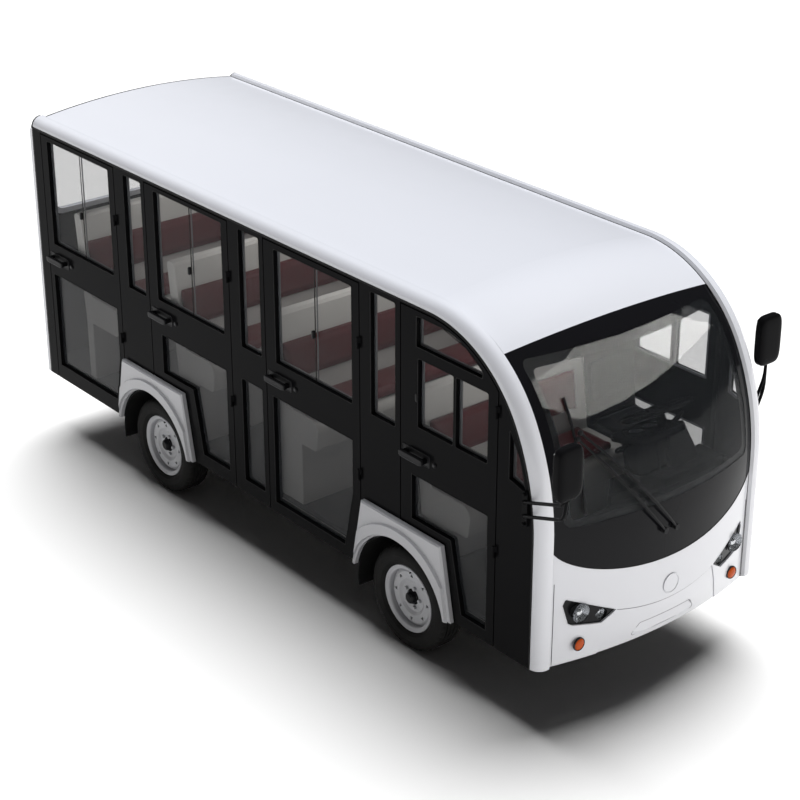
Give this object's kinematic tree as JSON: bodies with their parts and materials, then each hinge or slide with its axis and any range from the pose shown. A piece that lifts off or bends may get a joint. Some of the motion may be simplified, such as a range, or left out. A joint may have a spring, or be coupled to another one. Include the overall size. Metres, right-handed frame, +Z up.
{
  "type": "enclosed sightseeing cart",
  "caption": "Enclosed electric sightseeing cart with a curved windscreen, glazed side doors, rows of bench seats and small steel wheels under flared arches.",
  "frame": {"origin": "on the ground under the middle of the bounding box", "axes": "+X forward, +Y to the vehicle's left, +Z up"},
  "size_m": [4.731, 1.85, 2.0187],
  "materials": {
    "black_gloss": "gloss",
    "white_paint": "gloss",
    "grey_paint": "gloss",
    "tinted_glass": "gloss",
    "clear_glass": "gloss",
    "lamp_glass": "gloss",
    "amber_lens": "gloss",
    "red_lens": "gloss",
    "black_plastic": "satin",
    "floor_grey": "matte",
    "chassis_black": "satin",
    "battery_grey": "matte",
    "seat_shell": "satin",
    "seat_red": "satin",
    "tyre": "matte",
    "rim_paint": "satin"
  },
  "bodies": {
    "body": {"side_wall_right": "black_gloss", "side_wall_left": "black_gloss", "fixed_glass": "tinted_glass", "edge_bands": "white_paint", "roof_panel": "white_paint", "windscreen": "clear_glass", "front_mask": "black_gloss", "front_fascia": "white_paint", "lamp_housings": "black_plastic", "headlamps": "lamp_glass", "indicators": "amber_lens", "arch_flares": "grey_paint", "rear_frame": "black_plastic", "rear_panel": "white_paint", "tail_lamps": "red_lens", "floor_deck": "floor_grey", "wheel_houses": "floor_grey", "chassis_frame": "chassis_black", "battery_pack": "battery_grey", "rear_axle": "chassis_black", "front_axle": "chassis_black", "seat_shells": "seat_shell", "seat_cushions": "seat_red", "seat_backs": "seat_red", "dashboard": "black_plastic", "steering_wheel": "black_plastic", "mirrors": "black_plastic", "wiper": "black_plastic"},
    "wheel_front_right": {"tyre_front_right": "tyre", "rim_front_right": "rim_paint"},
    "wheel_front_left": {"tyre_front_left": "tyre", "rim_front_left": "rim_paint"},
    "wheel_rear_right": {"tyre_rear_right": "tyre", "rim_rear_right": "rim_paint"},
    "wheel_rear_left": {"tyre_rear_left": "tyre", "rim_rear_left": "rim_paint"},
    "steer_right": {"knuckle_right": "chassis_black"},
    "steer_left": {"knuckle_left": "chassis_black"},
    "leaf_rear_right": {"door_rear_right": "black_gloss", "glass_rear_right": "tinted_glass"},
    "leaf_third_right": {"door_third_right": "black_gloss", "glass_third_right": "tinted_glass"},
    "leaf_second_right": {"door_second_right": "black_gloss", "glass_second_right": "tinted_glass"},
    "leaf_front_right": {"door_front_right": "black_gloss", "glass_front_right": "tinted_glass"},
    "leaf_driver_left": {"door_driver_left": "black_gloss", "glass_driver_left": "tinted_glass"}
  },
  "joints": [
    {"name": "hinge_rear_right", "type": "hinge", "parent": "body", "child": "leaf_rear_right", "pos_m": [-1.438, -0.762, 1.2], "axis": [0, 0, 1], "range_deg": [0, 75]},
    {"name": "hinge_third_right", "type": "hinge", "parent": "body", "child": "leaf_third_right", "pos_m": [-0.339, -0.762, 1.2], "axis": [0, 0, 1], "range_deg": [0, 75]},
    {"name": "hinge_second_right", "type": "hinge", "parent": "body", "child": "leaf_second_right", "pos_m": [0.764, -0.762, 1.2], "axis": [0, 0, 1], "range_deg": [0, 75]},
    {"name": "hinge_front_right", "type": "hinge", "parent": "body", "child": "leaf_front_right", "pos_m": [1.775, -0.762, 1.2], "axis": [0, 0, 1], "range_deg": [0, 75]},
    {"name": "hinge_driver_left", "type": "hinge", "parent": "body", "child": "leaf_driver_left", "pos_m": [1.775, 0.762, 1.2], "axis": [0, 0, -1], "range_deg": [0, 75]},
    {"name": "steer_right", "type": "hinge", "parent": "body", "child": "steer_right", "pos_m": [1.0785, -0.52, 0.28], "axis": [0, 0, 1], "range_deg": [-28, 28]},
    {"name": "steer_left", "type": "hinge", "parent": "body", "child": "steer_left", "pos_m": [1.0785, 0.52, 0.28], "axis": [0, 0, 1], "range_deg": [-28, 28]},
    {"name": "spin_front_right", "type": "hinge", "parent": "steer_right", "child": "wheel_front_right", "pos_m": [1.0785, -0.637, 0.28], "axis": [0, 1, 0], "continuous": true},
    {"name": "spin_front_left", "type": "hinge", "parent": "steer_left", "child": "wheel_front_left", "pos_m": [1.0785, 0.637, 0.28], "axis": [0, 1, 0], "continuous": true},
    {"name": "spin_rear_right", "type": "hinge", "parent": "body", "child": "wheel_rear_right", "pos_m": [-1.1455, -0.637, 0.28], "axis": [0, 1, 0], "continuous": true},
    {"name": "spin_rear_left", "type": "hinge", "parent": "body", "child": "wheel_rear_left", "pos_m": [-1.1455, 0.637, 0.28], "axis": [0, 1, 0], "continuous": true}
  ],
  "couplings": [
    {"joint": "steer_left", "follows": "steer_right", "ratio": 1}
  ]
}
